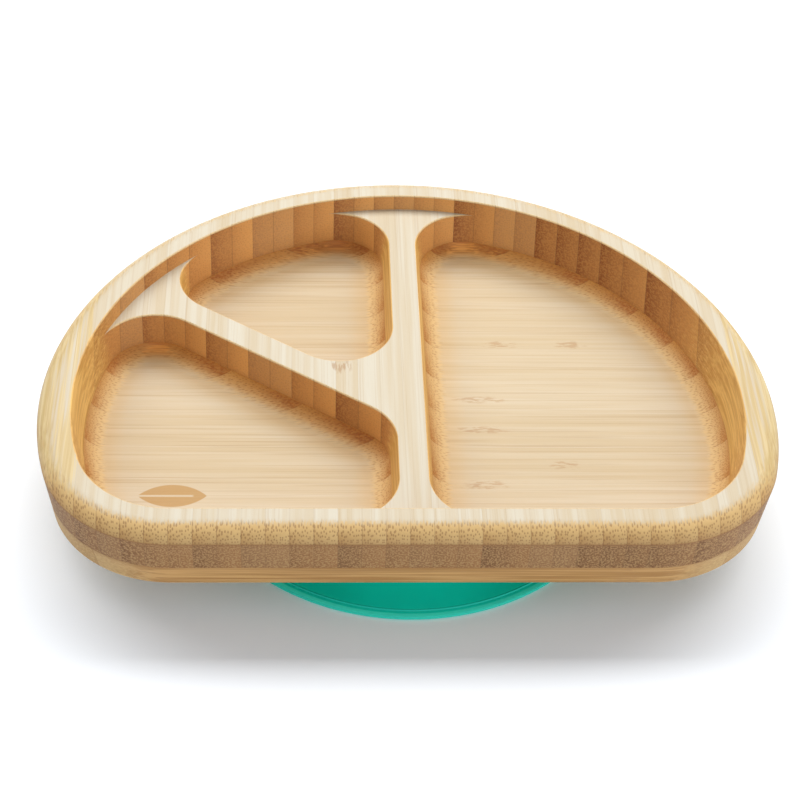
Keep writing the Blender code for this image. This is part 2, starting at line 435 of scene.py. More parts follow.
def crown_profile():
    """(radius, height) from the hub's top to the crown's edge."""
    soft = SILICONE_EDGE
    top_corner = (HUB_RADIUS - soft, CROWN_Z + HUB_HEIGHT - soft)
    profile = quarter(top_corner, (soft, soft), UP, OUT, FILLET_STEPS)
    low_corner = (HUB_RADIUS + soft, CROWN_Z + soft)
    profile += quarter(low_corner, (soft, soft), INWARD, DOWN_FROM_INWARD, FILLET_STEPS)
    crown_corner = (CROWN_RADIUS, CROWN_Z - CROWN_EDGE)
    return profile + quarter(crown_corner, (CROWN_EDGE, CROWN_EDGE), UP, OUT, CROWN_EDGE_STEPS)


def skirt_profile():
    """(radius, height) down the flared outside, round the lip, and back under the chamber."""
    lip_inner = SUCTION_RADIUS - LIP_WIDTH
    shoulder = lip_inner - LIP_STEP
    flare_top = CROWN_Z - CROWN_EDGE
    flare_low = LIP_THICKNESS + LIP_STEP
    radii = (shoulder - CROWN_RADIUS - CROWN_EDGE, flare_top - flare_low)
    profile = quarter((shoulder, flare_top), radii, INWARD, DOWN_FROM_INWARD, FLARE_STEPS)[1:]
    # A small rounded step down to the lip, whose own edge is rounded too.
    half = LIP_STEP / 2
    profile += quarter((shoulder, flare_low - half), (half, half), UP, OUT, FILLET_STEPS)[1:]
    corner = (lip_inner, LIP_THICKNESS + half)
    profile += quarter(corner, (half, half), INWARD, DOWN_FROM_INWARD, FILLET_STEPS)[1:]
    edge = LIP_THICKNESS / 2
    profile += quarter((SUCTION_RADIUS - edge, edge), (edge, edge), UP, DOWN, LIP_EDGE_STEPS)
    chamber = (CHAMBER_RADIUS, CHAMBER_HEIGHT)
    return profile + quarter((0, 0), chamber, OUT, UP, CHAMBER_STEPS)[:-1]


def suction_cup():
    """One moulding: a hub, a flared skirt with a thin lip, a vacuum chamber and a pull tab."""
    mesh = bmesh.new()
    angles = [2 * math.pi * i / TURNED_STEPS for i in range(TURNED_STEPS)]
    rings = []
    for radius, height in crown_profile() + skirt_profile():
        corners = [SUCTION_AXIS + Vector((*(radius * direction(a)), height)) for a in angles]
        rings.append([mesh.verts.new(corner) for corner in corners])
    for upper, lower in zip(rings, rings[1:]):
        for i, vertex in enumerate(upper):
            before = i - 1
            mesh.faces.new((upper[before], lower[before], lower[i], vertex))
    mesh.faces.new(rings[0])
    mesh.faces.new(reversed(rings[-1]))
    tab = pull_tab()
    made = joined(finished("suction_cup", mesh), [tab], "UNION")
    use_up([tab])
    shade(made)
    return made


def pull_tab():
    """A rounded tongue on the back of the lip that breaks the vacuum when it is lifted."""
    half = TAB_WIDTH / 2
    centre = SUCTION_AXIS.xy + Vector((0, SUCTION_RADIUS + TAB_LENGTH - half))
    root_y = SUCTION_AXIS.y + SUCTION_RADIUS - LIP_WIDTH / 2
    soft = TAB_THICKNESS / 3
    low = (soft, TAB_BOTTOM + soft)
    high = (soft, TAB_BOTTOM + TAB_THICKNESS - soft)
    edge = quarter(low, (-soft, soft), DOWN, OUT, TAB_EDGE_STEPS)
    edge += quarter(high, (-soft, soft), OUT, UP, TAB_EDGE_STEPS)
    angles = [math.pi * i / TAB_TIP_STEPS for i in range(TAB_TIP_STEPS + 1)]
    sections = []
    for step_in, height in edge:
        reach = half - step_in
        tip = [centre + reach * direction(angle) for angle in angles]
        outline = [Vector((reach, root_y)), *tip, Vector((-reach, root_y))]
        sections.append((outline, height))
    return loft("pull_tab", sections)


# ---- Node materials ----
class Graph:
    """A material's nodes. An input is a number, a colour, a vector or another node's output."""

    def __init__(self, name):
        self.material = bpy.data.materials.new(name)
        self.material.use_nodes = True
        self.nodes = self.material.node_tree.nodes
        self.links = self.material.node_tree.links
        self.shader = self.nodes["Principled BSDF"]

    def put(self, socket, value):
        if isinstance(value, bpy.types.NodeSocket):
            self.links.new(value, socket)
        else:
            socket.default_value = value

    def surface(self, name, value):
        """Sets one of the shader's own inputs."""
        self.put(self.shader.inputs[name], value)

    def maths(self, operation, *values, clamp=False):
        node = self.nodes.new("ShaderNodeMath")
        node.operation = operation
        node.use_clamp = clamp
        for socket, value in zip(node.inputs, values):
            self.put(socket, value)
        return node.outputs[0]

    def add(self, a, b):
        return self.maths("ADD", a, b)

    def less(self, a, b):
        return self.maths("SUBTRACT", a, b)

    def times(self, a, b):
        return self.maths("MULTIPLY", a, b)

    def absolute(self, a):
        return self.maths("ABSOLUTE", a)

    def smaller(self, a, b):
        return self.maths("MINIMUM", a, b)

    def equal(self, a, b):
        """1 where two whole numbers are equal, or else 0."""
        return self.maths("COMPARE", a, b, 0.5)

    def squares(self, a, b):
        return self.add(self.times(a, a), self.times(b, b))

    def length(self, a, b):
        return self.maths("SQRT", self.squares(a, b))

    def between(self, a, b, share):
        """A number that is b for this share and a for the rest."""
        return self.add(self.times(a, 1 - share), self.times(b, share))

    def ramp(self, value, low, high):
        """0 up to low, 1 from high on, and a smooth rise between. With low above high it falls."""
        node = self.nodes.new("ShaderNodeMapRange")
        node.interpolation_type = "SMOOTHSTEP"
        self.put(node.inputs["Value"], value)
        rises = low < high
        node.inputs["From Min"].default_value = min(low, high)
        node.inputs["From Max"].default_value = max(low, high)
        node.inputs["To Min"].default_value = 0 if rises else 1
        node.inputs["To Max"].default_value = 1 if rises else 0
        return node.outputs["Result"]

    def vector(self, x, y, z):
        node = self.nodes.new("ShaderNodeCombineXYZ")
        for socket, value in zip(node.inputs, (x, y, z)):
            self.put(socket, value)
        return node.outputs[0]

    def split(self, vector):
        node = self.nodes.new("ShaderNodeSeparateXYZ")
        self.put(node.inputs[0], vector)
        return node.outputs[:]

    def mix(self, factor, a, b, blend="MIX"):
        """Colour a with this much of b on it."""
        node = self.nodes.new("ShaderNodeMix")
        node.data_type = "RGBA"
        node.blend_type = blend
        self.put(node.inputs[0], factor)
        for socket, value in zip(node.inputs[6:8], (a, b)):
            self.put(socket, value if isinstance(value, bpy.types.NodeSocket) else (*value, 1))
        return node.outputs[2]

    def noise(self, vector, detail=2):
        node = self.nodes.new("ShaderNodeTexNoise")
        node.inputs["Scale"].default_value = 1
        node.inputs["Detail"].default_value = detail
        self.put(node.inputs["Vector"], vector)
        return node.outputs[0]

    def random(self, number):
        """Three random numbers from 0 to 1 for each whole number."""
        node = self.nodes.new("ShaderNodeTexWhiteNoise")
        node.noise_dimensions = "1D"
        self.put(node.inputs["W"], number)
        return self.split(node.outputs["Color"])

    def cells(self, vector, scatter):
        """The distance to the nearest of a scatter of points, one in each unit square."""
        node = self.nodes.new("ShaderNodeTexVoronoi")
        node.voronoi_dimensions = "2D"
        node.inputs["Scale"].default_value = 1
        node.inputs["Randomness"].default_value = scatter
        self.put(node.inputs["Vector"], vector)
        return node.outputs["Distance"]

    def bump(self, height, depth):
        """A bump of this depth in metres where height goes from 0 to 1."""
        node = self.nodes.new("ShaderNodeBump")
        node.inputs["Distance"].default_value = depth
        self.put(node.inputs["Height"], height)
        self.surface("Normal", node.outputs[0])

    def coordinates(self):
        """The place in millimetres and the surface's direction, both in the piece's own frame."""
        node = self.nodes.new("ShaderNodeTexCoord")
        scaled = self.nodes.new("ShaderNodeVectorMath")
        scaled.operation = "SCALE"
        scaled.inputs["Scale"].default_value = 1 / MM
        self.put(scaled.inputs[0], node.outputs["Object"])
        return scaled.outputs[0], node.outputs["Normal"]


# ---- Bamboo's patterns: lengths in millimetres, and shares and noise levels from 0 to 1 ----
# Noise that is drawn out along the grain: its width, its length and its detail.
FINEST_NOISE = (0.22, 14, 2)
FRAY_NOISE = (0.45, 6, 3)
KNOT_NOISE = (0.9, 4, 4)
NOISE_MIDDLE = 0.5
NOISE_SHIFT = 90                # how far a strip's noise is moved at most, in its widths

# Streaks: the same, and then the noise levels at which they start and are full.
BROAD_STREAKS = (2.6, 110, 2, 0.34, 0.66)
THIN_STREAKS = (0.55, 80, 2, 0.55, 0.66)
SIDE_STREAKS = (1.3, 60, 3, 0.38, 0.62)
HONEY_STREAKS = (1.1, 45, 2, 0.36, 0.56)
SPECKLES = (0.62, 5, 3, 0.42, 0.60)

# Fibre bundles, in their own pitches.
BUNDLE_SCATTER = 0.75
BUNDLE_RADIUS = 0.22
DENSE_BUNDLE_GROWTH = 0.10
BUNDLE_BLUR = 0.10
BUNDLE_SHIFT = 40
BUNDLE_WANDER = 1.2
WANDER_ACROSS = 0.05            # how much of the wandering's noise there is in a millimetre
WANDER_ALONG = 0.02             # the same along the grain

# Along the grain.
BROAD_SHARE = 0.6               # of the broad streaks in the colour, beside the strip's own tone
DENSE_LINES = 0.24              # what a strip's dense edge adds to its thin lines
FINE_LINE_LEVEL = 0.3
FINE_LINE_SHARE = 0.4
SIDE_LINE_SHARE = 0.5
HONEY_SHARE = 0.85

# Across the grain. A surface's level is its normal's upward part.
DENSITY_FALL = 1.5              # the power by which a strip gets less dense away from one edge
CURVED_LEVELS = (0.98, 0.60)    # where a curve shows how dense the strip is: nowhere, fully
STEEP_LEVELS = (0.45, 0.20)     # where a curve turns into a wall
TONE_IN_DENSITY = 0.35
DENSITY_IN_WALL = 0.4
GREY_HUES = (0.5, 0.9)          # the strips' random hues that are not grey at all, and fully
WALL_DOTS = 0.18

# Marks.
KNOT_LEVELS = (0.52, 0.66)      # the noise levels at which a knot's flecks start and are full
KNOT_GROWTH = 0.10              # what a knot's middle adds to the noise
LEAF_BLUR = 0.15
LEAF_SHARE = 0.8
VEIN_SIDE = (0.25, 0.55)        # from the leaf's middle line, where the vein ends
VEIN_END = (0.55, 0.65)         # in halves of the leaf's length

# Where a surface is darker or warmer, with painted warm bounce light by the pockets' walls and
# painted shade in creases.
GLUE_REACH = 0.25               # from a strip's edge
GLUE_SHARE = 0.10
PALE_BACK_FACING = (0.15, 0.40)    # how far a face is turned to the back
PALE_BACK_HEIGHTS = (0.5, 2.0)     # above the crease under the round-over
# How far the painted warm bounce light on a pocket's floor reaches.
BOUNCE_LIGHT_REACH = (17, 8)      # from a pocket's wall, where the tint starts and is full
RIGHT_SIDE = (0, 1)             # where the diagonal divider has ended
FAR_AWAY = 100
LOW_COVE = 1.8                  # above the floor
FACING_FRONT = (0, -0.4)        # how far a face is turned to the back
# The darkening by a crease is painted shade, and by the boards' joint it is the joint's own dark
# line.
DARK_REACH = 2.2                # from the line, above and below it
DARK_LINE_REACH = 0.45
DARK_LEVELS = (0.95, 0.70)      # a level surface has no such line

# The finish: the roughness of plain wood, what else adds to it, and the relief.
WOOD_ROUGHNESS = 0.46
END_ROUGHNESS = 0.14
FINE_ROUGHNESS = 0.12
PIT_DEPTH = 0.5
FINE_DEPTH = 0.6
WOOD_RELIEF = 0.08 * MM


class Strips:
    """Where a point lies among a board's bamboo strips, with the patterns that follow them.

    Places are in millimetres. Every strip has its own tone and is denser towards one edge.
    """

    def __init__(self, graph, wood):
        self.graph = graph
        self.wood = wood
        place, facing = graph.coordinates()
        self.x, self.y, self.z = graph.split(place)
        facing_x, self.to_back, facing_z = graph.split(facing)
        if wood["grain"] == "Y":
            self.across, self.along, end_on = self.x, self.y, self.to_back
        else:
            self.across, self.along, end_on = self.y, self.x, facing_x
        self.end_on = graph.absolute(end_on)
        self.level = graph.absolute(facing_z)
        strip = graph.times(graph.less(self.across, wood["first"]), 1 / wood["pitch"])
        number = graph.maths("FLOOR", strip)
        self.part = graph.less(strip, number)
        self.dense = graph.maths("POWER", graph.less(1, self.part), DENSITY_FALL)
        self.tone, self.hue, self.shift = graph.random(graph.add(number, wood["seed"]))
        for accent, change in wood["accents"].items():
            added = graph.times(graph.equal(number, accent), change)
            self.tone = graph.maths("ADD", self.tone, added, clamp=True)
        self.golden = 0
        for golden in wood["golden"]:
            self.golden = graph.add(self.golden, graph.equal(number, golden))

    def unpaled(self, colours):
        """1, or less on the round-over's back, which is drawn as pale as the top."""
        graph = self.graph
        above_crease = graph.less(self.z, CREASE_Z / MM)
        paled = graph.times(graph.ramp(self.to_back, *PALE_BACK_FACING), colours["back_paled"])
        return graph.less(1, graph.times(paled, graph.ramp(above_crease, *PALE_BACK_HEIGHTS)))

    def noise(self, width, length, detail):
        """Noise from 0 to 1 that is drawn out along the grain, and differs from strip to strip."""
        graph = self.graph
        moved = graph.times(self.shift, NOISE_SHIFT)
        across = graph.add(graph.times(self.across, 1 / width), moved)
        along = graph.times(self.along, 1 / length)
        return graph.noise(graph.vector(across, along, graph.times(self.z, 1 / width)), detail)

    def streaks(self, width, length, detail, start, full):
        """0 to 1 in streaks of about this width and length."""
        return self.graph.ramp(self.noise(width, length, detail), start, full)

    def bundles(self):
        """1 in the fibre bundles: dots scattered across the grain that wander slowly along it."""
        graph = self.graph
        per_bundle = 1 / self.wood["bundle_pitch"]
        slow_across = graph.times(self.across, WANDER_ACROSS)
        slow_along = graph.times(self.along, WANDER_ALONG)
        slow_up = graph.times(self.z, WANDER_ACROSS)
        slow = graph.noise(graph.vector(slow_across, slow_along, slow_up))
        wander = graph.times(graph.less(slow, NOISE_MIDDLE), BUNDLE_WANDER)
        moved = graph.add(wander, graph.times(self.shift, BUNDLE_SHIFT))
        sideways = graph.add(graph.times(self.across, per_bundle), moved)
        upwards = graph.add(graph.times(self.z, per_bundle), wander)
        distance = graph.cells(graph.vector(sideways, upwards, 0), BUNDLE_SCATTER)
        radius = graph.add(BUNDLE_RADIUS, graph.times(self.dense, DENSE_BUNDLE_GROWTH))
        return graph.ramp(graph.less(distance, radius), BUNDLE_BLUR, -BUNDLE_BLUR)

    def glue(self):
        """1 in the glue line between two strips."""
        graph = self.graph
        edge = graph.smaller(self.part, graph.less(1, self.part))
        return graph.ramp(graph.times(edge, self.wood["pitch"]), GLUE_REACH, 0)

    def knot(self, across, along, reach_across, reach_along):
        """Ragged flecks round a culm's node, fading to 0 at its reach."""
        graph = self.graph
        sideways = graph.times(graph.less(self.across, across), 1 / reach_across)
        lengthways = graph.times(graph.less(self.along, along), 1 / reach_along)
        share = graph.ramp(graph.squares(sideways, lengthways), 1, 0)
        ragged = graph.add(self.noise(*KNOT_NOISE), graph.times(share, KNOT_GROWTH))
        return graph.times(share, graph.ramp(ragged, *KNOT_LEVELS))

    def leaf(self, across, along, half_length, half_width):
        """1 inside a plain leaf that lies along the grain, but not in its middle vein."""
        graph = self.graph
        radius = arc_radius(half_length, half_width)
        sideways = graph.absolute(graph.less(self.across, across))
        lengthways = graph.less(self.along, along)
        far = graph.length(graph.add(sideways, radius - half_width), lengthways)
        inside = graph.ramp(far, radius + LEAF_BLUR, radius - LEAF_BLUR)
        beside_vein = graph.ramp(sideways, *VEIN_SIDE)
        past_vein = graph.ramp(graph.times(lengthways, 1 / half_length), *VEIN_END)
        return graph.times(inside, graph.maths("MAXIMUM", beside_vein, past_vein))

    def bounce_light_mask(self):
        """1 on a pocket's floor close to its walls, where painted warm bounce light goes, falling
        to 0 further in.
        """
        graph = self.graph
        radius = graph.length(self.x, graph.less(self.y, ARC_CENTRE_Y / MM))
        from_rim = graph.less((ARC_RADIUS - RIM_WIDTH) / MM, radius)
        from_divider = graph.absolute(graph.less(self.x, DIVIDER_X / MM))
        off_x = graph.times(self.x, math.sin(DIAGONAL_ANGLE))
        above_crossing = graph.less(self.y, (FRONT_Y + DIAGONAL_Y) / MM)
        off_y = graph.times(above_crossing, math.cos(DIAGONAL_ANGLE))
        off_diagonal = graph.absolute(graph.add(off_x, off_y))
        # The diagonal divider is only on the left, so it counts as far away on the right.
        past_end = graph.times(graph.ramp(self.x, *RIGHT_SIDE), FAR_AWAY)
        from_middle = graph.smaller(from_divider, graph.add(off_diagonal, past_end))
        from_dividers = graph.less(from_middle, DIVIDER_WIDTH / 2 / MM)
        return graph.ramp(graph.smaller(from_rim, from_dividers), *BOUNCE_LIGHT_REACH)


def long_grain(strips, colours, finest):
    """Pale where the surface is level, and golden where it tilts and the strips show edge on."""
    graph, wood = strips.graph, strips.wood
    thin = strips.streaks(*THIN_STREAKS)
    vary = graph.between(strips.tone, strips.streaks(*BROAD_STREAKS), BROAD_SHARE)
    flat = graph.mix(vary, wood["pale"], wood["gold"])
    line_share = graph.add(wood["lines"], graph.times(strips.dense, DENSE_LINES))
    flat = graph.mix(graph.times(thin, line_share), flat, wood["line"])
    fine_lines = graph.times(graph.less(finest, FINE_LINE_LEVEL), FINE_LINE_SHARE)
    flat = graph.mix(fine_lines, flat, wood["gold"])
    side = graph.mix(strips.streaks(*SIDE_STREAKS), *colours["side"])
    side = graph.mix(graph.times(thin, SIDE_LINE_SHARE), side, colours["side_line"])
    honey = graph.times(strips.golden, strips.streaks(*HONEY_STREAKS))
    flat = graph.mix(graph.times(honey, HONEY_SHARE), flat, side)
    tilted = graph.times(graph.ramp(strips.level, *colours["tilt"]), strips.unpaled(colours))
    return graph.mix(tilted, flat, side)


def curved_end_grain(strips, colours, bundle):
    """Golden and dotted, and darker towards each strip's dense edge, the more so, as painted shade,
    on coves that face the front.
    """
    graph = strips.graph
    to_front = graph.times(graph.ramp(strips.to_back, *FACING_FRONT), colours["front_shade_density"])
    dense = graph.times(strips.dense, graph.add(colours["density"], to_front))
    density = graph.add(dense, graph.times(strips.tone, TONE_IN_DENSITY))
    density = graph.times(density, graph.ramp(strips.level, *CURVED_LEVELS))
    colour = graph.mix(density, *colours["curve"])
    return graph.mix(graph.times(bundle, colours["dots"]), colour, colours["bundle"])


def steep_end_grain(strips, colours, bundle):
    """Browner than the curves, and greyer in some of the strips."""
    graph = strips.graph
    vary = graph.between(strips.tone, strips.dense, DENSITY_IN_WALL)
    colour = graph.mix(vary, *colours["wall"])
    grey = graph.times(graph.ramp(strips.hue, *GREY_HUES), colours["grey_share"])
    colour = graph.mix(grey, colour, colours["grey"])
    return graph.mix(graph.times(bundle, WALL_DOTS), colour, colours["bundle"])


def end_grain(strips, colours, bundle):
    """The curves' end grain and the walls', with paler flecks on both."""
    graph = strips.graph
    steep = graph.ramp(strips.level, *STEEP_LEVELS)
    curve = curved_end_grain(strips, colours, bundle)
    colour = graph.mix(steep, curve, steep_end_grain(strips, colours, bundle))
    share = graph.add(colours["curve_flecks"], graph.times(steep, colours["flecks"]))
    flecks = graph.times(strips.streaks(*SPECKLES), share)
    return graph.mix(flecks, colour, colours["fleck"])


def marked(strips, colours, colour):
    """The colour with the culms' nodes and the burnt leaf on it."""
    graph, wood = strips.graph, strips.wood
    for knot in wood["knots"]:
        share = graph.times(strips.knot(*knot), wood["knot_share"])
        colour = graph.mix(share, colour, wood["knot"])
    for leaf in colours["leaves"]:
        colour = graph.mix(graph.times(strips.leaf(*leaf), LEAF_SHARE), colour, colours["burnt"])
    return colour


def painted_warm_bounce(strips, colours, colour):
    """Painted warm bounce light beside a pocket's walls, and painted warm shade where the coves
    climb to them, mostly at the back.
    """
    graph = strips.graph
    colour = graph.mix(strips.bounce_light_mask(), colour, colours["floor_bounce_light"], "MULTIPLY")
    climb = graph.less(strips.z, FLOOR_Z / MM)
    low, high = graph.ramp(climb, 0, LOW_COVE), graph.ramp(climb, 0, COVE_DEPTH / MM)
    to_front = graph.times(graph.ramp(strips.to_back, *FACING_FRONT), colours["warm_shade_front"])
    share = graph.times(graph.between(low, high, 0.5), graph.add(colours["warm"], to_front))
    return graph.mix(share, colour, colours["cove_warm_shade"], "MULTIPLY")


def crease_shade_and_joint(strips, colours, colour):
    """Darker towards a line: painted shade in the crease under the round-over and where a pocket's
    wall meets its cove, and the dark joint where the two boards meet.
    """
    graph = strips.graph
    off = graph.absolute(graph.less(strips.z, colours["dark_height"] / MM))
    near = graph.times(graph.ramp(off, DARK_REACH, 0), colours["dark_near"])
    line = graph.times(graph.ramp(off, DARK_LINE_REACH, 0), colours["dark_line"])
    share = graph.times(graph.add(near, line), graph.ramp(strips.level, *DARK_LEVELS))
    return graph.mix(share, colour, colours["dark"])


def bamboo(name, wood, colours):
    """A board's bamboo: fibre bundles run along each strip, and show as dots on its end grain."""
    graph = Graph(name)
    strips = Strips(graph, wood)
    bundle = strips.bundles()
    finest = strips.noise(*FINEST_NOISE)
    fray = graph.times(graph.less(strips.noise(*FRAY_NOISE), NOISE_MIDDLE), colours["fray"])
    end_on = graph.ramp(graph.add(strips.end_on, fray), *colours["end_on"])
    end_on = graph.times(end_on, strips.unpaled(colours))
    along = long_grain(strips, colours, finest)
    colour = graph.mix(end_on, along, end_grain(strips, colours, bundle))
    glue_share = graph.add(GLUE_SHARE, graph.times(end_on, colours["end_glue"]))
    glue = graph.times(strips.glue(), glue_share)
    colour = graph.mix(glue, colour, wood["glue"])
    colour = marked(strips, colours, colour)
    if colours["floor_bounce_light"]:
        colour = painted_warm_bounce(strips, colours, colour)
    graph.surface("Base Color", crease_shade_and_joint(strips, colours, colour))

    rough = graph.add(graph.times(end_on, END_ROUGHNESS), graph.times(finest, FINE_ROUGHNESS))
    graph.surface("Roughness", graph.add(WOOD_ROUGHNESS, rough))
    pits = graph.times(bundle, graph.times(end_on, PIT_DEPTH))
    graph.bump(graph.less(graph.times(finest, FINE_DEPTH), graph.add(pits, glue)), WOOD_RELIEF)
    return graph.material


# ---- The boards' strips. Lengths are in millimetres and colours are linear ----
TOP_WOOD = {
    "grain": "Y",
    "first": -85.78,            # one edge of strip 0
    "pitch": 7.63,
    "seed": 11,
    "accents": {                # added to single strips' tones, from 0, pale, to 1, dark
        3: -0.5,
        4: -0.4,
        5: -0.6,
        6: -0.5,
        7: -0.3,
        8: 0.1,
        13: -0.6,
        14: 0.6,
        17: 0.5,
        18: 0.8,
        19: 0.7,
        20: 0.9,
        21: 0.8,
        22: 0.5,
        23: 0.6,
    },
    "golden": (-5, -4, 26, 27),  # strips with honey streaks
    "bundle_pitch": 0.92,
    "lines": 0.14,
    "pale": (0.565, 0.515, 0.41),
    "gold": (0.505, 0.405, 0.26),
    "line": (0.40, 0.27, 0.14),
    "glue": (0.20, 0.09, 0.03),
    "knot": (0.34, 0.18, 0.07),
    "knot_share": 0.65,
    # Where a knot is across and along the grain, and its reach across and along.
    "knots": ((-23.3, -8.5, 5.5, 5.0), (93.7, -71.9, 5.0, 9.0)),
}
BASE_WOOD = {
    "grain": "X",
    "first": 2.0,
    "pitch": 17.5,
    "seed": 5,
    "accents": {},
    "golden": (),
    "bundle_pitch": 0.80,
    "lines": 0.26,
    "pale": (0.57, 0.465, 0.315),
    "gold": (0.51, 0.385, 0.22),
    "line": (0.36, 0.22, 0.09),
    "glue": (0.24, 0.11, 0.035),
    "knot": (0.38, 0.20, 0.07),
    "knot_share": 0.55,
    "knots": (
        (21.9, 61.4, 3.0, 8.0),
        (21.7, 35.7, 3.0, 8.0),
        (-41.4, 53.6, 3.0, 7.0),
        (-51.2, 25.5, 3.0, 12.0),
        (-8.3, 26.0, 2.5, 13.0),
        (-23.9, 26.0, 2.5, 13.0),
        (-91.8, 69.5, 5.0, 6.0),
    ),
}

# ---- What the boards' surfaces show. Pairs of colours are the ends of a range ----
ANY_SURFACE = {
    "fray": 0.55,               # how ragged the change to end grain is
    "density": 0.65,            # how much of the darker curve colour a strip's dense edge has
    # Painted shade: a surface that faces the front shows its strips as denser.
    "front_shade_density": 0,         # what a surface that faces the front has more
    "curve_flecks": 0.10,
    "end_glue": 0.30,           # how much stronger glue lines are on end grain
    "back_paled": 0,
    "leaves": (),               # across and along the grain, half the length, half the width
    # Painted warm bounce light and shade, only on surfaces that have their own.
    "floor_bounce_light": None,
}
TOP_OUTSIDE = ANY_SURFACE | {
    "side": ((0.60, 0.46, 0.22), (0.50, 0.35, 0.13)),
    "side_line": (0.42, 0.25, 0.08),
    "tilt": (0.9995, 0.80),     # the levels at which a surface starts to tilt and is fully tilted
    "end_on": (0.06, 0.42),     # the same for how far it faces along the grain
    "curve": ((0.61, 0.40, 0.16), (0.45, 0.25, 0.08)),
    "dots": 0.55,
    "bundle": (0.20, 0.085, 0.025),
    "wall": ((0.275, 0.125, 0.038), (0.130, 0.048, 0.010)),
    "grey": (0.26, 0.135, 0.054),
    "grey_share": 0.5,
    "fleck": (0.42, 0.255, 0.10),
    "flecks": 0.55,
    "back_paled": 0.9,
    # Painted shade in the crease under the round-over.
    "dark_height": CREASE_Z,
    "dark_near": 0.30,
    "dark_line": 0.35,
    "dark": (0.22, 0.09, 0.022),
}
TOP_ROUTED = ANY_SURFACE | {
    "side": ((0.74, 0.45, 0.13), (0.56, 0.30, 0.068)),
    "side_line": (0.42, 0.22, 0.05),
    "tilt": (0.9995, 0.80),
    "end_on": (0.08, 0.48),
    "curve": ((0.66, 0.50, 0.27), (0.60, 0.42, 0.20)),
    "dots": 0.15,
    "bundle": (0.20, 0.085, 0.025),
    "wall": ((0.69, 0.33, 0.092), (0.24, 0.064, 0.0075)),
    "grey": (0.52, 0.28, 0.11),
    "grey_share": 0.5,
    "fleck": (0.64, 0.31, 0.08),
    "flecks": 0.24,
    # Painted shade where the pockets' walls meet the coves, at the boards' joint.
    "dark_height": JOINT_Z,
    "dark_near": 0.20,
    "dark_line": 0.12,
    "dark": (0.30, 0.11, 0.02),
}
BASE_OUTSIDE = ANY_SURFACE | {
    "side": ((0.51, 0.29, 0.10), (0.36, 0.18, 0.048)),
    "side_line": (0.24, 0.115, 0.03),
    "tilt": (0.995, 0.70),
    "end_on": (0.08, 0.48),
    "curve": ((0.66, 0.46, 0.21), (0.42, 0.21, 0.05)),
    "dots": 0.42,
    "bundle": (0.26, 0.11, 0.025),
    "wall": ((0.46, 0.29, 0.12), (0.36, 0.20, 0.06)),
    "grey": (0.40, 0.25, 0.12),
    "grey_share": 0.4,
    "fleck": (0.58, 0.40, 0.18),
    "flecks": 0.35,
    "curve_flecks": 0.12,
    "dark_height": JOINT_Z,
    "dark_near": 0.25,
    "dark_line": 0.35,
    "dark": (0.26, 0.11, 0.025),
}
BASE_ROUTED = ANY_SURFACE | {
    "side": ((0.80, 0.52, 0.20), (0.54, 0.29, 0.08)),
    "side_line": (0.36, 0.15, 0.03),
    "tilt": (0.9995, 0.74),
    "end_on": (0.03, 0.36),
    "fray": 0.62,
    "curve": ((0.60, 0.445, 0.235), (0.40, 0.19, 0.038)),
    "density": 0.82,
    # Painted shade on the coves that face the front.
    "front_shade_density": 0.45,
    "dots": 0.50,
    "bundle": (0.30, 0.12, 0.022),
    "wall": ((0.62, 0.40, 0.16), (0.40, 0.20, 0.05)),
    "grey": (0.50, 0.34, 0.16),
    "grey_share": 0.3,
    "fleck": (0.66, 0.49, 0.25),
    "flecks": 0.22,
    "curve_flecks": 0.34,
    "end_glue": 0.20,
    "leaves": ((-56.6, -79.5, 11.5, 5.2),),
    "burnt": (0.40, 0.20, 0.02),
    # Painted warm bounce light on the floor beside the walls, and painted warm shade in the coves.
    "floor_bounce_light": (1.06, 0.965, 0.80),
    "warm": 0.40,
    "warm_shade_front": 0.60,
    "cove_warm_shade": (0.86, 0.60, 0.27),
    # Painted shade where the pockets' walls meet the coves, at the boards' joint.
    "dark_height": JOINT_Z,
    "dark_near": 0.25,
    "dark_line": 0.12,
    "dark": (0.36, 0.14, 0.025),
}

# ---- Silicone ----
SILICONE_DEEP = (0.0, 0.66, 0.50)
SILICONE_LIGHT = (0.0, 0.82, 0.64)
LIP_COLOUR = (0.06, 0.97, 0.76)
SHOULDER_COLOUR = (0.0, 0.50, 0.38)
LIP_EDGE_COLOUR = (0.02, 0.60, 0.46)
LIP_PALE = (0.5, 1.1)           # millimetres outside the lip's inner line
SHOULDER_START = (-1.0, -0.6)   # the same
SHOULDER_END = (0.1, -0.1)      # the same
LIP_EDGE = (-0.6, -0.2)         # millimetres outside the whole lip
CLOUDS_PER_MM = 0.05
GRAINS_PER_MM = 2.5
GRAIN_DETAIL = 3
SILICONE_ROUGHNESS = 0.36
GRAIN_ROUGHNESS = 0.16
LIP_ROUGHNESS = 0.25            # on the lip and on the shoulder above it
SILICONE_IOR = 1.41
SUBSURFACE_SHARE = 0.15
SUBSURFACE_RADII = (0.3, 1.0, 0.8)
SUBSURFACE_SCALE = 0.002
GRAIN_RELIEF = 0.02 * MM


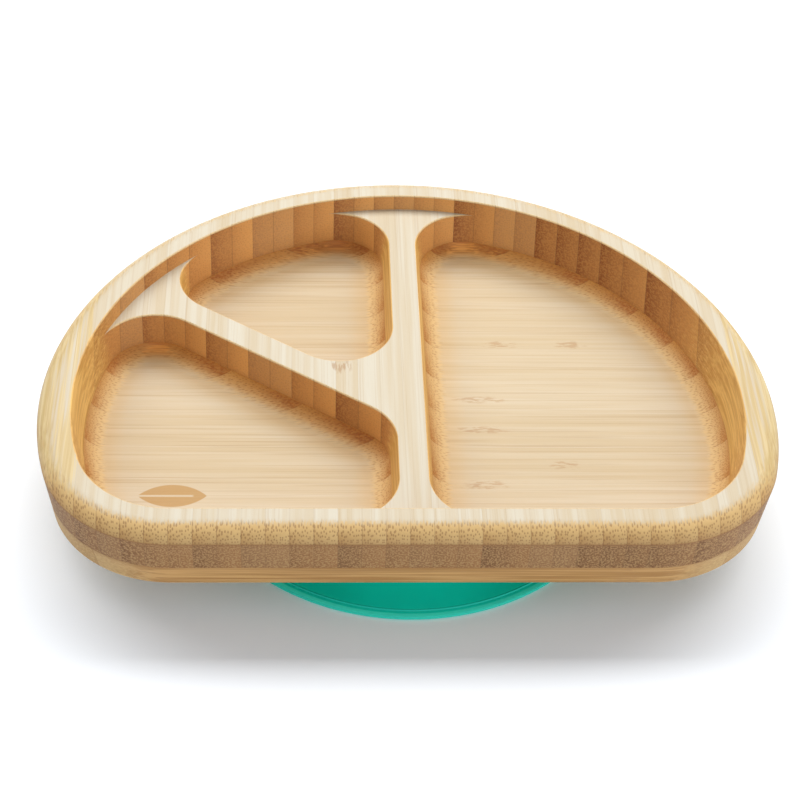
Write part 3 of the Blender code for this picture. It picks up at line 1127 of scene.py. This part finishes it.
def silicone(name):
    """Satin silicone, lighter in the thin lip, where the light comes through it."""
    graph = Graph(name)
    place, _ = graph.coordinates()
    x, y, z = graph.split(place)
    radius = graph.length(x, graph.less(y, SUCTION_AXIS.y / MM))
    from_lip = graph.less(radius, (SUCTION_RADIUS - LIP_WIDTH) / MM)
    from_outside = graph.less(radius, SUCTION_RADIUS / MM)
    lip = graph.ramp(from_lip, *LIP_PALE)
    edge = graph.ramp(from_outside, *LIP_EDGE)
    shoulder = graph.times(
        graph.ramp(from_lip, *SHOULDER_START), graph.ramp(from_lip, *SHOULDER_END)
    )
    clouds = [graph.times(part, CLOUDS_PER_MM) for part in (x, y)]
    colour = graph.mix(graph.noise(graph.vector(*clouds, 0)), SILICONE_DEEP, SILICONE_LIGHT)
    colour = graph.mix(lip, colour, LIP_COLOUR)
    colour = graph.mix(shoulder, colour, SHOULDER_COLOUR)
    graph.surface("Base Color", graph.mix(edge, colour, LIP_EDGE_COLOUR))

    grains = [graph.times(part, GRAINS_PER_MM) for part in (x, y, z)]
    grain = graph.noise(graph.vector(*grains), GRAIN_DETAIL)
    rough = graph.add(SILICONE_ROUGHNESS, graph.times(grain, GRAIN_ROUGHNESS))
    duller = graph.times(graph.add(lip, shoulder), LIP_ROUGHNESS)
    graph.surface("Roughness", graph.add(rough, duller))
    graph.surface("IOR", SILICONE_IOR)
    graph.surface("Subsurface Weight", SUBSURFACE_SHARE)
    graph.surface("Subsurface Radius", SUBSURFACE_RADII)
    graph.surface("Subsurface Scale", SUBSURFACE_SCALE)
    graph.bump(grain, GRAIN_RELIEF)
    return graph.material


# ---- Surroundings ----
FLOOR_HALF_WIDTH = 4
FLOOR_DROP = 0.0001             # keeps the floor just clear of the suction base
FLOOR_WHITE = (0.93, 0.96, 1.0)
FLOOR_ROUGHNESS = 0.9
ROOM_LIGHT = 0.45
LIGHTS = (
    # name, place, what it points at, size, watts, colour
    ("key", (0, 0.68, 1.07), (0, 0, 0), (3.6, 0.6), 37, (1, 1, 1)),
    ("front_fill", (0.8, -1.42, 0.4), (0, -0.08, 0.01), (3.0, 0.5), 16, (0.90, 0.95, 1)),
)


def floor():
    graph = Graph("floor_white")
    graph.surface("Base Color", (*FLOOR_WHITE, 1))
    graph.surface("Roughness", FLOOR_ROUGHNESS)
    mesh = bmesh.new()
    bmesh.ops.create_grid(mesh, x_segments=1, y_segments=1, size=FLOOR_HALF_WIDTH)
    made = finished("floor", mesh)
    made.location.z = -FLOOR_DROP
    made.data.materials.append(graph.material)


def camera():
    data = bpy.data.cameras.new("camera")
    data.lens = CAMERA_LENS
    made = bpy.data.objects.new("camera", data)
    bpy.context.scene.collection.objects.link(made)
    turn = Matrix.Rotation(CAMERA_PAN, 4, "Z")
    dip = Matrix.Rotation(math.pi / 2 - CAMERA_DIP, 4, "X")
    roll = Matrix.Rotation(CAMERA_ROLL, 4, "Z")
    made.matrix_world = Matrix.Translation(CAMERA_PLACE) @ turn @ dip @ roll
    bpy.context.scene.camera = made


def area_light(name, place, target, size, power, colour):
    data = bpy.data.lights.new(name, "AREA")
    data.shape = "RECTANGLE"
    data.size, data.size_y = size
    data.energy = power
    data.color = colour
    made = bpy.data.objects.new(name, data)
    bpy.context.scene.collection.objects.link(made)
    made.location = place
    made.rotation_euler = (Vector(target) - Vector(place)).to_track_quat("-Z", "Y").to_euler()


def studio():
    world = bpy.data.worlds.new("studio")
    world.use_nodes = True
    background = world.node_tree.nodes["Background"]
    background.inputs["Color"].default_value = (1, 1, 1, 1)
    background.inputs["Strength"].default_value = ROOM_LIGHT
    bpy.context.scene.world = world
    bpy.context.scene.view_settings.view_transform = "Standard"
    for light in LIGHTS:
        area_light(*light)


# ---- The pieces with their looks ----
def cut_from_above(face, outline):
    """Whether a board's face belongs to the pockets or to the land's wall."""
    up = face.normal.z
    if face.center.z > JOINT_Z:
        open_above = abs(up) < TOP_BOARD_LEVEL
    else:
        open_above = up > BASE_BOARD_DOWN
    rim = RIM_WIDTH - 2 * SOFT_EDGE_RADIUS
    return open_above and depth_inside(outline, face.center.xy) > rim


def dress(made, outside, routed=None):
    """Gives a piece its material, and a board a second one on what is cut into it from above."""
    made.data.materials.append(outside)
    if routed is None:
        return
    made.data.materials.append(routed)
    outline = plate_outline()
    for face in made.data.polygons:
        face.material_index = int(cut_from_above(face, outline))


camera()
floor()
studio()
LOOKS = {
    "bamboo_top": (
        bamboo("bamboo_top", TOP_WOOD, TOP_OUTSIDE),
        bamboo("bamboo_top_routed", TOP_WOOD, TOP_ROUTED),
    ),
    "bamboo_base": (
        bamboo("bamboo_base", BASE_WOOD, BASE_OUTSIDE),
        bamboo("bamboo_base_routed", BASE_WOOD, BASE_ROUTED),
    ),
    "silicone": (silicone("silicone"),),
}
top, base = boards()
PIECES = (
    # piece, CAD node, body, slot
    (top, "top_board", "plate", "bamboo_top"),
    (base, "base_board", "plate", "bamboo_base"),
    (suction_cup(), "suction_base", "foot", "silicone"),
)
for made, node, body, slot in PIECES:
    dress(made, *LOOKS[slot])
    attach(made, body)
    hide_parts(node)
